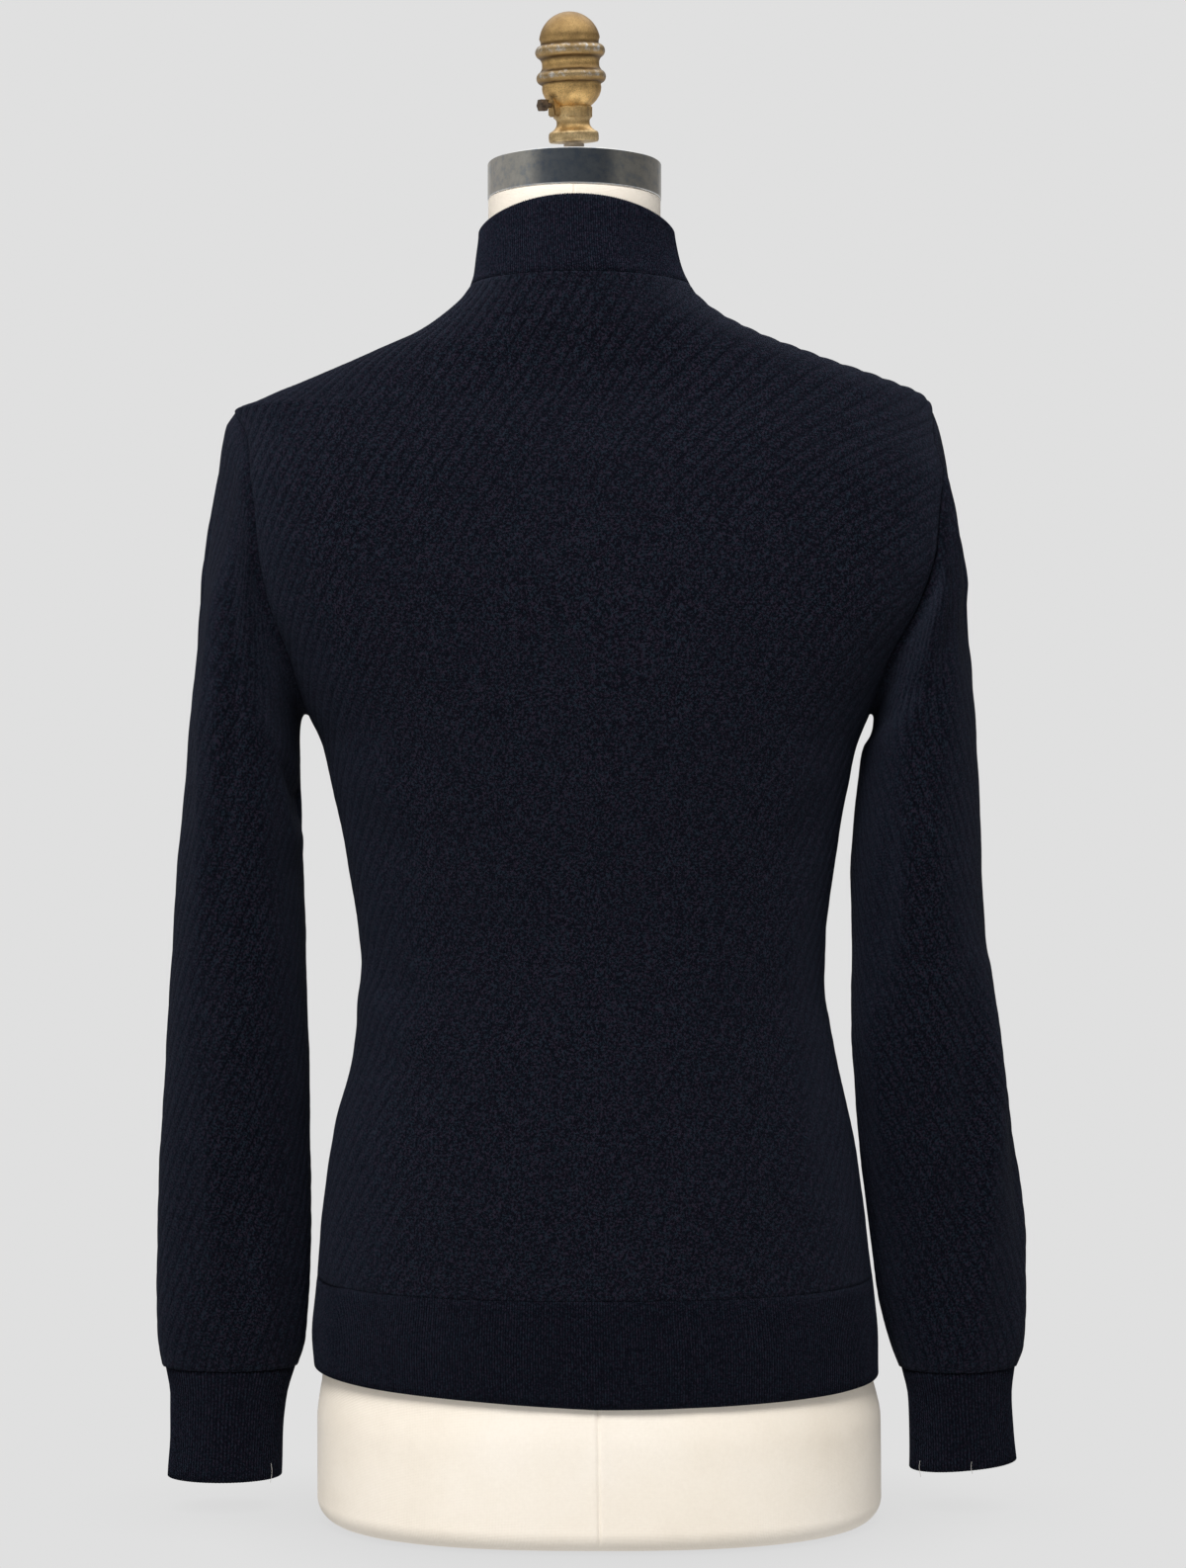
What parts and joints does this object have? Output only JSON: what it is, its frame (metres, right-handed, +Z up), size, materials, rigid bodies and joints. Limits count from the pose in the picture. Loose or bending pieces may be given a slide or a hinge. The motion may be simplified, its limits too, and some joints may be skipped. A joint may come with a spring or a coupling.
{
  "type": "full-zip sweater on a limbless dress form",
  "caption": "Long-sleeved full-zip sweater in diagonal rib with a mock neck, worn by a smooth limbless dress form with a chrome neck cap and a turned brass finial.",
  "frame": {"origin": "centre of the form's flat underside", "axes": "+Z up, the zip faces -Y, the wearer's left is +X"},
  "size_m": [0.5485, 0.2348, 0.9359],
  "materials": {
    "navy_knit": "matt fine-gauge knit",
    "form_linen": "matt stretched cloth",
    "chrome": "polished",
    "steel": "turned",
    "aged_brass": "aged, uneven",
    "dark_steel": "dark",
    "zip_tape": "woven tape",
    "zip_metal": "dark plated"
  },
  "bodies": {
    "dressed_form": {"form_torso": "form_linen", "neck_cap": "chrome", "neck_rod": "steel", "finial": "aged_brass", "back_panel": "navy_knit", "front_panel_left": "navy_knit", "front_panel_right": "navy_knit", "hem_back": "navy_knit", "hem_front_left": "navy_knit", "hem_front_right": "navy_knit", "collar": "navy_knit", "sleeve_left": "navy_knit", "sleeve_right": "navy_knit", "cuff_left": "navy_knit", "cuff_right": "navy_knit", "zip_tape_left": "zip_tape", "zip_tape_right": "zip_tape", "zip_chain": "zip_metal", "zip_box": "zip_metal", "zip_slider": "zip_metal"},
    "pull_tab": {"zip_pull": "zip_metal"},
    "screw": {"clamp_screw": "dark_steel"}
  },
  "joints": [
    {"name": "pull_tab_hinge", "type": "hinge", "parent": "dressed_form", "child": "pull_tab", "pos_m": [0.01282, -0.06636, 0.77369], "axis": [-1, 0, 0], "range_deg": [0, 170]},
    {"name": "clamp_screw_turn", "type": "hinge", "parent": "dressed_form", "child": "screw", "pos_m": [0.03273, 0.01217, 0.87732], "axis": [0.8622, 0.4951, -0.1073], "continuous": true}
  ]
}
